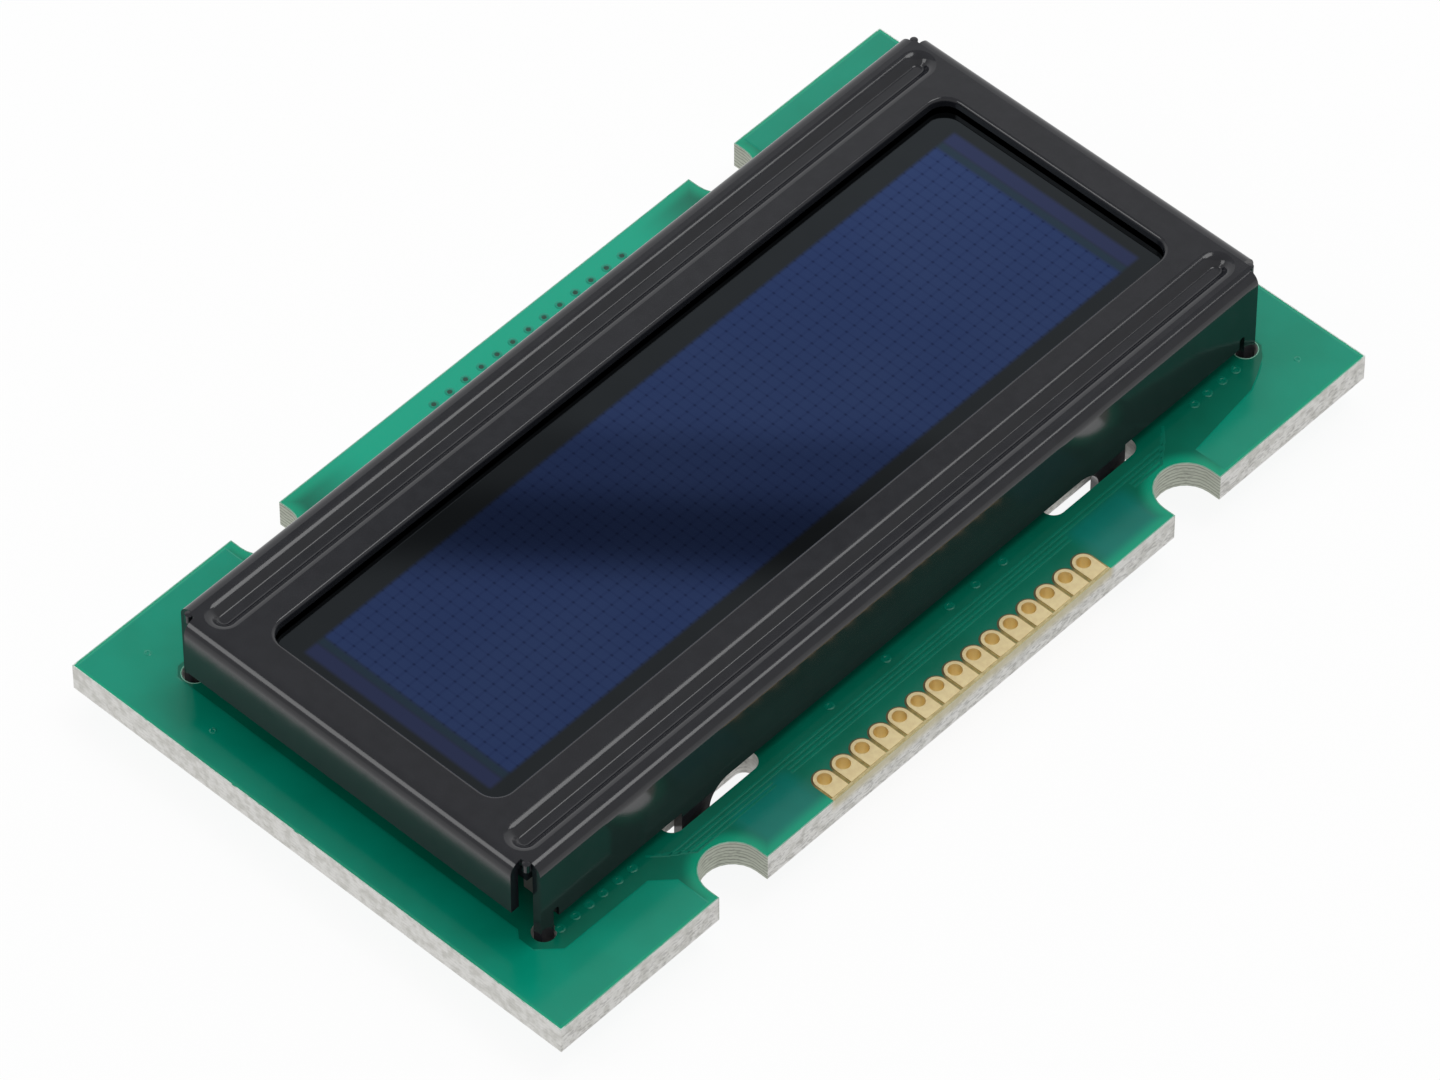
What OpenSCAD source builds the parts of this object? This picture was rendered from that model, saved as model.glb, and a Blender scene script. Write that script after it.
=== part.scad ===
// Graphic display module: a circuit board carrying a display glass under a folded sheet-metal bezel.
// Millimetres, +Z up, long side along X, edge pads on the -Y side.
// It rests on the lower ends of its four twisted tabs, at z = 0.

/* [Board] */
// Length of the board along X
board_length = 55.2; // [52.6:0.1:70]
// Width of the board along Y
board_width = 31.2; // [30.6:0.1:45]
// Thickness of the laminate
board_thickness = 1.6; // [1:0.1:2.4]
// Width of a mounting notch
notch_width = 3.2; // [2:0.1:3.6]
// Depth of a mounting notch from the edge
notch_depth = 2.25; // [1.7:0.05:2.5]
// Distance between the two notches of one edge
notch_spacing = 31.2; // [26:0.1:40]

/* [Edge pads] */
// Number of pads in the row
pad_count = 15; // [2:1:17]
// Distance from one pad to the next
pad_pitch = 1.27; // [1.2:0.01:1.35]
// Width of one pad
pad_width = 1.06; // [0.8:0.02:1.14]
// Diameter of the plated hole in a pad
pad_hole_diameter = 0.72; // [0.4:0.02:0.76]
// Distance from the board's edge to the line of holes
pad_hole_inset = 1.18; // [1:0.02:1.6]
// Bare laminate between a pad and the board's edge
pad_edge_gap = 0.18; // [0.1:0.02:0.4]
// Height of a metal pad over the laminate
pad_thickness = 0.05; // [0.03:0.01:0.1]
// Wall of the plated barrel in a hole
plating = 0.06; // [0.04:0.01:0.08]

/* [Bezel] */
// Outer length of the bezel
bezel_length = 50.6; // [49.8:0.1:51.6]
// Outer width of the bezel
bezel_width = 22.8; // [22.4:0.1:23.4]
// Height of the bezel's top over the board
bezel_height = 5.1; // [4.6:0.1:7]
// Thickness of the folded sheet
sheet = 0.5; // [0.4:0.05:0.6]
// Outer radius of the folds
bend_radius = 0.7; // [0.65:0.05:0.8]
// How far each long wall stops short of the corner
corner_relief = 0.85; // [0.85:0.05:1.2]
// How far each short wall stops short of the corner
end_relief = 1.05; // [0.85:0.05:1.4]
// How far the top reaches past the fold lines at a corner
corner_draw = 0.2; // [0.1:0.05:0.45]
// Gap between the long walls and the board
wall_gap = 0.75; // [0.3:0.05:1]
// Gap between the short walls and the board
end_gap = 1.85; // [0.8:0.05:2.4]
// Length of the window
window_length = 46; // [40:0.1:46.4]
// Width of the window
window_width = 14.6; // [10:0.1:15]
// Corner radius of the window
window_radius = 1; // [0.4:0.1:1.5]
// Rounding of the window's stamped edge
window_edge = 0.2; // [0.1:0.01:0.4]

/* [Beads] */
// Width of a pressed bead at the top, before its rims are rounded
bead_width = 1.4; // [1.3:0.05:1.5]
// Depth of a pressed bead
bead_depth = 0.45; // [0.35:0.05:0.55]
// Steepness of a bead's sides
bead_slope = 48; // [45:1:70]
// Rounding of a bead's rims
bead_rim = 0.75; // [0.3:0.05:0.9]
// Rounding at the foot of a bead's sides
bead_root = 0.2; // [0.1:0.02:0.3]
// Distance from the bezel's long side to the middle of a bead
bead_inset = 1.9; // [1.85:0.05:2]
// Distance from the bezel's short side to the end of a bead
bead_end_gap = 1.1; // [1.1:0.05:3]

/* [Legs and tabs] */
// Width of a corner leg
leg_width = 0.8; // [0.6:0.05:0.9]
// How deep a leg reaches into the board
leg_reach = 1.4; // [0.6:0.1:1.6]
// Diameter of the hole that takes a leg
leg_hole_diameter = 1.2; // [1.15:0.05:1.6]
// Width of the relief beside a leg
relief_width = 0.35; // [0.2:0.05:0.6]
// Height of the relief beside a leg
relief_height = 0.7; // [0.4:0.05:1.2]
// Distance from the middle of the board to the outer edge of a tab
tab_offset = 15.2; // [14:0.1:16.6]
// Width of a tab
tab_width = 1.85; // [1.5:0.05:2.4]
// How far the rounded root of a tab widens on its inner side
tab_flare = 1.3; // [0.8:0.1:1.8]
// How far a tab hangs under the board
tab_drop = 1.5; // [1.4:0.1:2.5]
// Angle that the end of a tab is twisted by
tab_twist = 40; // [20:5:60]
// Length of the slot that takes a tab
slot_length = 6.15; // [5:0.05:7]
// Width of the slot that takes a tab
slot_width = 1.3; // [1.1:0.05:1.4]
// Gap between a tab and the outer end of its slot
slot_end_gap = 0.9; // [0.3:0.05:1]
// How far a slot lies inward of its tab
slot_shift = 0.15; // [0:0.01:0.2]

/* [Display] */
// Thickness of the display glass
glass_thickness = 0.7; // [0.5:0.05:1.1]
// Gap between the display glass and the bezel's walls
glass_gap = 0.4; // [0.2:0.05:0.8]
// Thickness of the polarizing film
film_thickness = 0.22; // [0.1:0.02:0.3]
// How far the film reaches past the window's short sides
film_margin = 0.8; // [0.4:0.1:1]
// Gap between the film and the beads beside it
film_gap = 0.48; // [0.3:0.02:1]
// Thickness of the lid behind the dots
cap_thickness = 0.7; // [0.5:0.05:1]
// Depth of the recess in the lid
cap_recess = 0.3; // [0.2:0.02:0.35]
// Distance from the ends of the glass to the ends of the lid
cap_end_gap = 1.2; // [0.6:0.1:3]
// Thickness of the glue line between glass and lid
seal_thickness = 0.05; // [0.02:0.01:0.1]
// Width of the glue line
seal_width = 1.2; // [0.8:0.1:2]
// Thickness of the drying sheet
desiccant_thickness = 0.15; // [0.1:0.01:0.2]
// Gap around the drying sheet
desiccant_gap = 1; // [0.5:0.1:3]
// Gap around the foam cushion under the lid
foam_gap = 2; // [0.5:0.5:4]

/* [Contact strips] */
// Width of an elastomer strip
strip_width = 1.6; // [1.2:0.1:1.6]
// Distance from the ends of the glass to the ends of a strip
strip_end_gap = 1.6; // [1:0.1:4]
// Gap between a strip and the lid
strip_gap = 0.35; // [0.2:0.05:0.6]
// Distance from one contact finger to the next
contact_pitch = 0.8; // [0.6:0.05:1.2]
// Width of a contact finger
contact_width = 0.45; // [0.3:0.05:0.5]
// Length by which a finger is shorter than the strip is wide
contact_margin = 0.2; // [0.2:0.05:0.6]

/* [Rear parts] */
// Diameter of the resin drop over the driver chip
glob_diameter = 11; // [9:0.5:13]
// Height of the resin drop
glob_height = 1.1; // [0.9:0.05:1.2]
// Length of the driver chip
die_length = 4.2; // [2:0.1:5]
// Width of the driver chip
die_width = 1.8; // [1:0.1:2.4]
// Thickness of the driver chip
die_thickness = 0.4; // [0.2:0.05:0.5]
// Number of small chips in each column
chip_rows = 5; // [1:1:5]
// Distance between small chips in a column
chip_pitch = 3; // [2:0.1:3.4]
// Length of a small chip
chip_length = 1.6; // [1.2:0.1:2]
// Width of a small chip
chip_width = 0.8; // [0.5:0.05:1.2]
// Length of the metal at each end of a small chip
chip_band = 0.3; // [0.2:0.05:0.4]
// Height of a capacitor
capacitor_height = 0.8; // [0.5:0.05:1.1]
// Height of a resistor with its coat
resistor_height = 0.45; // [0.3:0.05:0.6]
// Thickness of the coat on a resistor
resistor_coat = 0.06; // [0.04:0.01:0.1]
// Side of the square coil
inductor_size = 4; // [3:0.1:4.5]
// Height of the coil
inductor_height = 1.2; // [0.9:0.1:1.2]
// Length of a moulded chip's body
moulded_length = 2.9; // [2.4:0.1:3.2]
// Width of a moulded chip's body
moulded_width = 1.6; // [1.2:0.1:1.8]
// Height of a moulded chip over its lands
moulded_height = 1.1; // [0.9:0.05:1.2]
// Taper of a moulded chip's sides
moulded_draft = 10; // [4:1:14]
// Thickness of a solder land
land_thickness = 0.05; // [0.03:0.01:0.1]

/* [Hidden] */
$fn = 64;
// facets of the wide, shallow dome
dome_facets = 360;
// how far a cutter runs past the faces that it cuts
past = 1;
// how far two pieces of one solid run into each other
bite = 0.02;
// radial gap between a plated barrel and the laminate
plating_gap = 0.01;

// heights
board_bottom = tab_drop;
board_top = board_bottom + board_thickness;
bezel_top = board_top + bezel_height;
bend_level = bezel_top - bend_radius;
wall_bottom = board_top + wall_gap;
end_bottom = board_top + end_gap;
glass_top = bezel_top - sheet - bead_depth;
glass_bottom = glass_top - glass_thickness;
cap_top = glass_bottom - seal_thickness;
cap_bottom = cap_top - cap_thickness;
contact_top = board_top + pad_thickness;
land_level = board_bottom - land_thickness;

// bezel
plate_length = bezel_length - 2 * bend_radius;
plate_width = bezel_width - 2 * bend_radius;
long_wall = bezel_length - 2 * corner_relief;
short_wall = bezel_width - 2 * end_relief;
wall_middle = bezel_width / 2 - sheet / 2;

// beads
bead_y = bezel_width / 2 - bead_inset;
bead_run = bezel_length - 2 * bead_end_gap - bead_width;
bead_floor = bead_width / 2 - bead_depth / tan(bead_slope);
// by how much the sheet's underside is wider than its upper face at a bead's corners
bead_spread = sheet * tan(bead_slope / 2);
// share of a rim's radius by which its circle stands over the sheet, so that the two meet in an edge
rim_rise = 0.01;

// legs, tabs and their openings
leg_x = long_wall / 2 - leg_width / 2;
relief_x = long_wall / 2 - leg_width - relief_width / 2;
tab_inner = tab_offset - tab_width;
tab_x = tab_offset - tab_width / 2;
slot_x = tab_offset + slot_end_gap - slot_length / 2;
slot_y = wall_middle - slot_shift;
twist_slices = 8;
twist_facets = 4;

// display
glass_length = bezel_length - 2 * sheet - 2 * glass_gap;
glass_width = bezel_width - 2 * sheet - 2 * glass_gap;
film_length = window_length + 2 * film_margin;
film_width = 2 * (bead_y - bead_width / 2 - bead_spread - film_gap);
strip_length = glass_length - 2 * strip_end_gap;
cap_length = glass_length - 2 * cap_end_gap;
cap_width = 2 * (bead_y - strip_width / 2 - strip_gap);
recess_length = cap_length - 2 * seal_width;
recess_width = cap_width - 2 * seal_width;
contact_count = floor(strip_length / contact_pitch);
contact_length = strip_width - contact_margin;

// pads
pad_line = board_width / 2 - pad_hole_inset;
pad_tail = pad_hole_inset - pad_edge_gap;
barrel_diameter = pad_hole_diameter + 2 * plating;

// rear layout, seen from above
glob_spot = [-2, 0];
capacitor_x = -12;
resistor_x = -17;
filter_x = 9.5;
filter_y = -3;
converter_spot = [9.5, 3.5];
inductor_spot = [17, 3];
diode_spot = [17, -3.5];
column_y = [for (row = [0 : chip_rows - 1]) (row - (chip_rows - 1) / 2) * chip_pitch];
capacitor_spots = concat(
    [for (y = column_y) [capacitor_x, y]],
    [for (step = [0, 1]) [filter_x, filter_y - step * chip_pitch]]
);
resistor_spots = [for (y = column_y) [resistor_x, y]];

// moulded chips
lead_thickness = 0.15;
lead_width = 0.4;
diode_lead_width = 0.6;
lead_bend = 0.08;
lead_foot = 0.3;
lead_pitch = 0.95;
moulded_lift = 0.1;
lead_shoulder = 0.1;
lead_rise = (moulded_height + moulded_lift) / 2;
lead_knee = lead_bend + lead_thickness;
lead_heel = lead_shoulder + lead_bend + lead_knee;
land_margin = 0.12;
ferrite_corner = 0.6;
inductor_end_width = 1.4;
inductor_end_length = 0.7;
inductor_end_height = 0.25;
inductor_groove = 0.5;

// Flat shapes

module rounded(length, width, radius) {
    square([length - 2 * radius, width], center = true);
    square([length, width - 2 * radius], center = true);
    for (x = [-1, 1], y = [-1, 1])
        translate([x * (length / 2 - radius), y * (width / 2 - radius)])
            circle(radius);
}

// a long hole with two round ends
module stadium(length, width) {
    square([length - width, width], center = true);
    for (x = [-1, 1])
        translate([x * (length - width) / 2, 0])
            circle(d = width);
}

// what a rounded edge takes off the sheet beside a wall at x = 0, with the sheet's face at y = 0
module rim_profile(radius) {
    level = radius * (rim_rise - 1);
    difference() {
        translate([-bite, level])
            square([radius + bite, past - level]);
        translate([radius, level])
            circle(radius);
    }
}

// half of a bead's hollow, from its middle line at x = 0: floor, rounded foot, sloped side and rounded rim
module groove_profile() {
    level = bead_rim * (rim_rise - 1);
    middle = bead_width / 2 + (bead_rim + level * cos(bead_slope)) / sin(bead_slope);
    root = [bead_floor - bead_root * tan(bead_slope / 2), bead_root - bead_depth];
    difference() {
        union() {
            polygon([
                [0, -bead_depth],
                [root[0], -bead_depth],
                [root[0] + bead_root * sin(bead_slope), root[1] - bead_root * cos(bead_slope)],
                [middle - bead_rim * sin(bead_slope), level + bead_rim * cos(bead_slope)],
                [middle, level],
                [middle, past],
                [0, past]
            ]);
            intersection() {
                translate(root)
                    circle(bead_root);
                translate([0, -bead_depth])
                    square([bead_width, bead_depth]);
            }
        }
        translate([middle, level])
            circle(bead_rim);
    }
}

// half of a bead's underside, from its middle line at x = 0
module bump_profile() {
    polygon([
        [0, -sheet - bead_depth],
        [bead_floor + bead_spread, -sheet - bead_depth],
        [bead_width / 2 + bead_spread, -sheet],
        [bead_width / 2 + bead_spread, -sheet / 2],
        [0, -sheet / 2]
    ]);
}

// a quarter of a bent strip about its own centre, from +Y round to +X
module quarter_bend(inner, outer) {
    intersection() {
        difference() {
            circle(outer);
            circle(inner);
        }
        square(outer);
    }
}

// a pad with a round inner end, reaching along -Y to the edge
module pad_outline() {
    circle(d = pad_width);
    translate([-pad_width / 2, -pad_tail])
        square([pad_width, pad_tail]);
}

// Helpers

// a half profile swept along a straight run and round both ends
module swept_both_ways(run) {
    for (turn = [0, 180])
        rotate([0, 0, turn]) {
            rotate([90, 0, 90])
                linear_extrude(run, center = true)
                    children();
            translate([run / 2, 0, 0])
                rotate([0, 0, -90])
                    rotate_extrude(angle = 180)
                        children();
        }
}

// an opening through the sheet with round corners and a rounded upper edge
module stamped_window() {
    translate([0, 0, -sheet - past])
        linear_extrude(sheet + 2 * past)
            rounded(window_length, window_width, window_radius);
    for (turn = [0, 180])
        rotate([0, 0, turn]) {
            translate([0, window_width / 2, 0])
                rotate([90, 0, 90])
                    linear_extrude(window_length - 2 * window_radius, center = true)
                        rim_profile(window_edge);
            translate([window_length / 2, 0, 0])
                rotate([90, 0, 0])
                    linear_extrude(window_width - 2 * window_radius, center = true)
                        rim_profile(window_edge);
            for (side = [0, 1])
                mirror([0, side, 0])
                    translate([window_length / 2 - window_radius, window_width / 2 - window_radius, 0])
                        rotate_extrude(angle = 90)
                            translate([window_radius, 0])
                                rim_profile(window_edge);
        }
}

// a quarter-round fold along X, from the flat top into a wall on the +Y side
module fold(run) {
    rotate([90, 0, 90])
        linear_extrude(run, center = true)
            quarter_bend(bend_radius - sheet, bend_radius);
}

// front view of a tab on the +X side, down to where its twist begins, with a rounded inner root
module tab_outline() {
    root_level = max(wall_bottom - tab_flare, board_bottom);
    translate([tab_inner, board_bottom])
        square([tab_width, wall_bottom + bite - board_bottom]);
    difference() {
        translate([tab_inner - tab_flare, root_level])
            square([tab_flare, wall_bottom + bite - root_level]);
        translate([tab_inner - tab_flare, wall_bottom - tab_flare])
            circle(tab_flare);
    }
}

// front view of a long wall with its legs and tabs
module long_wall_outline() {
    difference() {
        translate([-long_wall / 2, wall_bottom])
            square([long_wall, bend_level - wall_bottom]);
        for (side = [-1, 1])
            translate([side * relief_x, wall_bottom]) {
                translate([-relief_width / 2, -past])
                    square([relief_width, past + relief_height - relief_width / 2]);
                translate([0, relief_height - relief_width / 2])
                    circle(d = relief_width);
            }
    }
    for (side = [-1, 1]) {
        translate([side * leg_x - leg_width / 2, board_top - leg_reach])
            square([leg_width, leg_reach + wall_gap + bite]);
        mirror([(1 - side) / 2, 0])
            tab_outline();
    }
}

// a long side on the +Y side: fold, wall and the twisted ends of its tabs
module long_side() {
    translate([0, plate_width / 2, bend_level])
        fold(long_wall);
    translate([0, bezel_width / 2, 0])
        rotate([90, 0, 0])
            linear_extrude(sheet)
                long_wall_outline();
    for (side = [-1, 1])
        translate([side * tab_x, wall_middle, board_bottom])
            mirror([0, 0, 1])
                linear_extrude(board_bottom, twist = -tab_twist, slices = twist_slices, $fn = twist_facets)
                    square([tab_width, sheet], center = true);
}

// a short side on the +X side: fold and wall
module short_side() {
    translate([plate_length / 2, 0, bend_level])
        rotate([0, 0, -90])
            fold(short_wall);
    translate([bezel_length / 2 - sheet, -short_wall / 2, end_bottom])
        cube([sheet, short_wall, bend_level - end_bottom]);
}

// the round corner of the top at +X and +Y, cut free between the two folds and drawn down a little
module drawn_corner() {
    translate([plate_length / 2, plate_width / 2, bend_level])
        intersection() {
            sphere(bend_radius);
            translate([0, 0, bend_radius - sheet])
                cylinder(h = sheet, r = corner_draw);
        }
}

module slab(length, width, bottom, top) {
    translate([-length / 2, -width / 2, bottom])
        cube([length, width, top - bottom]);
}

// stands its child, built upward from z = 0, on the lands under the board
module on_rear(spot) {
    translate([spot[0], spot[1], land_level])
        mirror([0, 0, 1])
            children();
}

// the two ends of a small part that lies along X
module both_ends() {
    for (turn = [0, 180])
        rotate([0, 0, turn])
            children();
}

module chip_end(height) {
    translate([chip_length / 2 - chip_band, -chip_width / 2, 0])
        cube([chip_band, chip_width, height]);
}

// a land under one end of a small chip
module chip_land() {
    translate([chip_length / 2 - chip_band - land_margin, -chip_width / 2 - land_margin, -land_thickness])
        cube([chip_band + 2 * land_margin, chip_width + 2 * land_margin, land_thickness]);
}

module chip_body(height) {
    slab(chip_length - 2 * chip_band, chip_width, 0, height);
}

// a bent lead that leaves a moulded body toward +X from a side face at x = 0
module bent_lead(width) {
    rotate([90, 0, 0])
        linear_extrude(width, center = true) {
            translate([0, lead_rise - lead_thickness])
                square([lead_shoulder, lead_thickness]);
            translate([lead_shoulder, lead_rise - lead_knee])
                quarter_bend(lead_bend, lead_knee);
            translate([lead_shoulder + lead_bend, lead_knee])
                square([lead_thickness, lead_rise - 2 * lead_knee]);
            translate([lead_heel, lead_knee])
                rotate(180)
                    quarter_bend(lead_bend, lead_knee);
            translate([lead_heel, 0])
                square([lead_foot, lead_thickness]);
        }
}

// where the leads of the five-lead chip stand: two on one side and three on the other
module converter_lead_places() {
    for (x = [-1, 1])
        translate([x * lead_pitch, moulded_width / 2, 0])
            rotate([0, 0, 90])
                children();
    for (x = [-1, 0, 1])
        translate([x * lead_pitch, -moulded_width / 2, 0])
            rotate([0, 0, -90])
                children();
}

// a land under a bent lead
module lead_land(width) {
    translate([lead_heel - lead_bend - land_margin, -width / 2 - land_margin, -land_thickness])
        cube([lead_bend + lead_foot + 2 * land_margin, width + 2 * land_margin, land_thickness]);
}

// Board

module board_outline() {
    difference() {
        square([board_length, board_width], center = true);
        for (x = [-1, 1], turn = [0, 180])
            rotate([0, 0, turn])
                translate([x * notch_spacing / 2, board_width / 2 - notch_depth + notch_width / 2]) {
                    circle(d = notch_width);
                    translate([-notch_width / 2, 0])
                        square([notch_width, notch_depth + past]);
                }
    }
}

module pad_places() {
    for (index = [0 : pad_count - 1])
        translate([(index - (pad_count - 1) / 2) * pad_pitch, -pad_line, 0])
            children();
}

module circuit_board() {
    color([0.05, 0.42, 0.33])
        translate([0, 0, board_bottom])
            difference() {
                linear_extrude(board_thickness)
                    board_outline();
                translate([0, 0, -past])
                    linear_extrude(board_thickness + 2 * past) {
                        for (x = [-1, 1], y = [-1, 1]) {
                            translate([x * slot_x, y * slot_y])
                                stadium(slot_length, slot_width);
                            translate([x * leg_x, y * wall_middle])
                                circle(d = leg_hole_diameter);
                        }
                        pad_places()
                            circle(d = barrel_diameter + 2 * plating_gap);
                    }
            }
}

module edge_pad() {
    difference() {
        union() {
            translate([0, 0, board_top])
                linear_extrude(pad_thickness)
                    pad_outline();
            translate([0, 0, board_bottom - pad_thickness])
                linear_extrude(pad_thickness)
                    pad_outline();
            translate([0, 0, board_bottom - pad_thickness])
                cylinder(h = board_thickness + 2 * pad_thickness, d = barrel_diameter);
        }
        translate([0, 0, board_bottom - past])
            cylinder(h = board_thickness + 2 * past, d = pad_hole_diameter);
    }
}

module edge_pads() {
    color([0.82, 0.68, 0.38])
        pad_places()
            edge_pad();
}

// one row of contact fingers on the board
module contact_row(side) {
    for (index = [0 : contact_count - 1])
        translate([(index - (contact_count - 1) / 2) * contact_pitch, side * bead_y, 0])
            slab(contact_width, contact_length, board_top, contact_top);
}

module front_contacts() {
    color([0.82, 0.68, 0.38])
        contact_row(-1);
}

module back_contacts() {
    color([0.82, 0.68, 0.38])
        contact_row(1);
}

// Bezel

module bezel() {
    color([0.05, 0.05, 0.055])
        difference() {
            union() {
                slab(plate_length, plate_width, bezel_top - sheet, bezel_top);
                for (turn = [0, 180])
                    rotate([0, 0, turn]) {
                        long_side();
                        short_side();
                        for (side = [0, 1])
                            mirror([0, side, 0])
                                drawn_corner();
                        translate([0, bead_y, bezel_top])
                            swept_both_ways(bead_run)
                                bump_profile();
                    }
            }
            translate([0, 0, bezel_top])
                stamped_window();
            for (side = [-1, 1])
                translate([0, side * bead_y, bezel_top])
                    swept_both_ways(bead_run)
                        groove_profile();
        }
}

// Display

module polarizer() {
    color([0.07, 0.09, 0.2])
        slab(film_length, film_width, glass_top, glass_top + film_thickness);
}

module front_glass() {
    color([0.2, 0.24, 0.3])
        slab(glass_length, glass_width, glass_bottom, glass_top);
}

module seal_ring() {
    color([0.75, 0.72, 0.6])
        difference() {
            slab(cap_length, cap_width, cap_top, glass_bottom);
            slab(recess_length, recess_width, cap_top - past, glass_bottom + past);
        }
}

module rear_cap() {
    color([0.6, 0.68, 0.7])
        difference() {
            slab(cap_length, cap_width, cap_bottom, cap_top);
            slab(recess_length, recess_width, cap_top - cap_recess, cap_top + past);
        }
}

module desiccant_sheet() {
    color([0.92, 0.92, 0.9])
        slab(
            recess_length - 2 * desiccant_gap,
            recess_width - 2 * desiccant_gap,
            cap_top - cap_recess,
            cap_top - cap_recess + desiccant_thickness
        );
}

module foam_pad() {
    color([0.12, 0.12, 0.12])
        slab(cap_length - 2 * foam_gap, cap_width - 2 * foam_gap, board_top, cap_bottom);
}

module contact_strip(side) {
    color([0.25, 0.26, 0.28])
        translate([0, side * bead_y, 0])
            slab(strip_length, strip_width, contact_top, glass_bottom);
}

module front_strip() {
    contact_strip(-1);
}

module back_strip() {
    contact_strip(1);
}

// Rear parts

module driver_die() {
    color([0.35, 0.36, 0.4])
        translate([glob_spot[0], glob_spot[1], 0])
            slab(die_length, die_width, board_bottom - die_thickness, board_bottom);
}

module glob_top() {
    ball = (pow(glob_diameter / 2, 2) + pow(glob_height, 2)) / (2 * glob_height);
    color([0.04, 0.04, 0.045])
        translate([glob_spot[0], glob_spot[1], board_bottom])
            difference() {
                intersection() {
                    translate([0, 0, ball - glob_height])
                        sphere(ball, $fn = dome_facets);
                    slab(glob_diameter + past, glob_diameter + past, -glob_height - past, 0);
                }
                slab(die_length, die_width, -die_thickness, past);
            }
}

module capacitor_bodies() {
    color([0.72, 0.6, 0.44])
        for (spot = capacitor_spots)
            on_rear(spot)
                chip_body(capacitor_height);
}

module capacitor_ends() {
    color([0.75, 0.75, 0.76])
        for (spot = capacitor_spots)
            on_rear(spot)
                both_ends()
                    chip_end(capacitor_height);
}

module resistor_bodies() {
    color([0.9, 0.9, 0.88])
        for (spot = resistor_spots)
            on_rear(spot)
                chip_body(resistor_height - resistor_coat);
}

module resistor_coats() {
    color([0.05, 0.05, 0.06])
        for (spot = resistor_spots)
            on_rear(spot)
                translate([0, 0, resistor_height - resistor_coat])
                    chip_body(resistor_coat);
}

module resistor_ends() {
    color([0.75, 0.75, 0.76])
        for (spot = resistor_spots)
            on_rear(spot)
                both_ends()
                    chip_end(resistor_height - resistor_coat);
}

module inductor_core() {
    color([0.16, 0.16, 0.17])
        on_rear(inductor_spot)
            difference() {
                linear_extrude(inductor_height)
                    rounded(inductor_size, inductor_size, ferrite_corner);
                both_ends()
                    translate([inductor_size / 2 - inductor_end_length, -inductor_end_width / 2, -past])
                        cube([past, inductor_end_width, inductor_end_height + past]);
                translate([0, 0, inductor_height - inductor_end_height])
                    difference() {
                        cylinder(h = past, d = inductor_size - inductor_groove);
                        cylinder(h = past, d = inductor_size - 2 * inductor_groove);
                    }
            }
}

module inductor_ends() {
    color([0.75, 0.75, 0.76])
        on_rear(inductor_spot)
            both_ends()
                translate([inductor_size / 2 - inductor_end_length, -inductor_end_width / 2, 0])
                    cube([inductor_end_length, inductor_end_width, inductor_end_height]);
}

// side view of a moulded body: upright where the leads leave it, tapered above and below
module moulded_profile(length) {
    foot = length / 2 - (lead_rise - lead_thickness - moulded_lift) * tan(moulded_draft);
    crown = length / 2 - (moulded_height - lead_rise) * tan(moulded_draft);
    polygon([
        [-foot, moulded_lift],
        [foot, moulded_lift],
        [length / 2, lead_rise - lead_thickness],
        [length / 2, lead_rise],
        [crown, moulded_height],
        [-crown, moulded_height],
        [-length / 2, lead_rise],
        [-length / 2, lead_rise - lead_thickness]
    ]);
}

module moulded_body() {
    intersection() {
        rotate([90, 0, 0])
            linear_extrude(moulded_width, center = true)
                moulded_profile(moulded_length);
        rotate([90, 0, 90])
            linear_extrude(moulded_length, center = true)
                moulded_profile(moulded_width);
    }
}

module converter_body() {
    color([0.06, 0.06, 0.065])
        on_rear(converter_spot)
            moulded_body();
}

module converter_leads() {
    color([0.75, 0.75, 0.76])
        on_rear(converter_spot)
            converter_lead_places()
                bent_lead(lead_width);
}

module diode_body() {
    color([0.06, 0.06, 0.065])
        on_rear(diode_spot)
            moulded_body();
}

module diode_leads() {
    color([0.75, 0.75, 0.76])
        on_rear(diode_spot)
            both_ends()
                translate([moulded_length / 2, 0, 0])
                    bent_lead(diode_lead_width);
}

module solder_lands() {
    color([0.78, 0.78, 0.8]) {
        for (spot = concat(capacitor_spots, resistor_spots))
            on_rear(spot)
                both_ends()
                    chip_land();
        on_rear(inductor_spot)
            both_ends()
                translate([inductor_size / 2 - inductor_end_length, -inductor_end_width / 2, -land_thickness])
                    cube([inductor_end_length + land_margin, inductor_end_width, land_thickness]);
        on_rear(converter_spot)
            converter_lead_places()
                lead_land(lead_width);
        on_rear(diode_spot)
            both_ends()
                translate([moulded_length / 2, 0, 0])
                    lead_land(diode_lead_width);
    }
}

circuit_board();
edge_pads();
front_contacts();
back_contacts();
bezel();
polarizer();
front_glass();
seal_ring();
rear_cap();
desiccant_sheet();
foam_pad();
front_strip();
back_strip();
driver_die();
glob_top();
capacitor_bodies();
capacitor_ends();
resistor_bodies();
resistor_coats();
resistor_ends();
inductor_core();
inductor_ends();
converter_body();
converter_leads();
diode_body();
diode_leads();
solder_lands();
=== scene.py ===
# %% [markdown]
# # Dressing a graphic display module
# The module is a green circuit board that carries a folded steel bezel, and a
# display glass looks out through the bezel's window. Its solid pieces come from
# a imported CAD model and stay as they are. This lesson adds what makes them read
# as the real thing: light, finishes, copper under the green mask, and solder.

import math

import bpy
from mathutils import Matrix, Vector


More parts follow.
